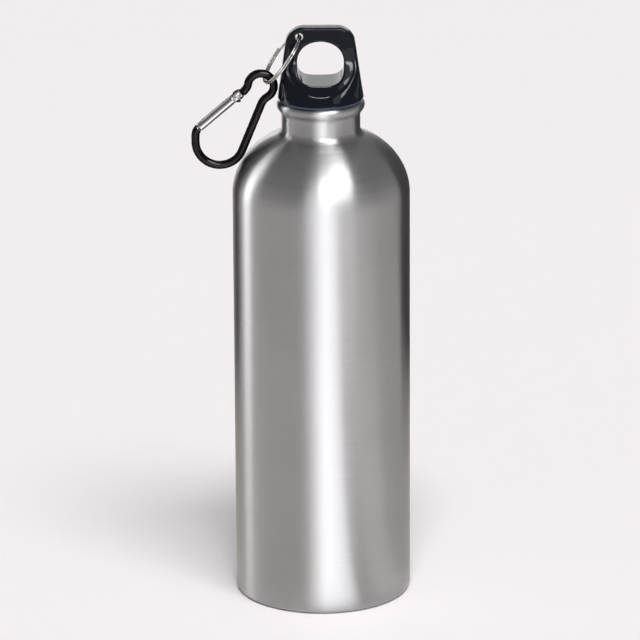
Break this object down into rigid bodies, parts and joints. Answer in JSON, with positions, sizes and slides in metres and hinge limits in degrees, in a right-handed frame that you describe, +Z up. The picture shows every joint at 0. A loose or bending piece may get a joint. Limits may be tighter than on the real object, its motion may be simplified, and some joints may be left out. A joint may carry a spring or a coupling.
{
  "type": "drinking bottle",
  "caption": "Slim aluminium drinking bottle with a screw-in black loop cap, a split ring through the loop and a small snap hook hanging on the ring.",
  "frame": {"origin": "on the bottle's axis in the plane that it stands on; the base panel lies 1.2 mm above it", "axes": "+Z up along the bottle's axis, X along the width of the cap's loop with the snap hook on the -X side, -Y towards the pictured front"},
  "size_m": [0.0896, 0.073, 0.2428],
  "materials": {
    "bottle_aluminium": "fine circumferential brushing",
    "insert_plastic": "moulded, natural white",
    "seal_silicone": "matt slate blue",
    "cap_plastic": "glossy black",
    "plug_plastic": "satin black",
    "ring_steel": "bright nickel plate",
    "hook_anodised": "glossy black anodised",
    "gate_aluminium": "bare, drawn",
    "rivet_aluminium": "bright",
    "spring_steel": "drawn wire"
  },
  "bodies": {
    "bottle": {"bottle_body": "bottle_aluminium", "neck_thread_insert": "insert_plastic"},
    "seal": {"sealing_ring": "seal_silicone"},
    "cap": {"cap_moulding": "cap_plastic", "thread_plug": "plug_plastic"},
    "ring": {"split_ring": "ring_steel"},
    "carabiner": {"carabiner_body": "hook_anodised", "gate_pivot_rivet": "rivet_aluminium"},
    "gate": {"carabiner_gate": "gate_aluminium", "gate_spring": "spring_steel"},
    "plunger": {"spring_plunger": "spring_steel"}
  },
  "joints": [
    {"name": "cap_lift", "type": "slide", "parent": "bottle", "child": "seal", "axis": [0, 0, 1], "range_m": [0, 0.0121]},
    {"name": "cap_turn", "type": "hinge", "parent": "seal", "child": "cap", "pos_m": [0, 0, 0.212], "axis": [0, 0, 1], "range_deg": [0, 1080]},
    {"name": "ring_swing", "type": "hinge", "parent": "cap", "child": "ring", "pos_m": [-0.0086, 0, 0.2388], "axis": [0, 1, 0], "range_deg": [0, 140]},
    {"name": "carabiner_swing", "type": "hinge", "parent": "ring", "child": "carabiner", "pos_m": [-0.0227, 0, 0.2198], "axis": [0, 1, 0], "range_deg": [0, 70]},
    {"name": "gate_open", "type": "hinge", "parent": "carabiner", "child": "gate", "pos_m": [-0.0341, 0, 0.2136], "axis": [0, -1, 0], "range_deg": [0, 40], "stiffness_Nm_per_rad": 0.002, "springref_deg": -17.19},
    {"name": "plunger_slide", "type": "slide", "parent": "gate", "child": "plunger", "axis": [-0.7604, 0, -0.6494], "range_m": [0, 0.0006], "deforming": ["gate_spring"]}
  ],
  "couplings": [
    {"joint": "cap_lift", "follows": "cap_turn", "m_per_rad": 0.00063662},
    {"joint": "gate_open", "follows": "plunger_slide", "rad_per_m": 1162.8}
  ]
}
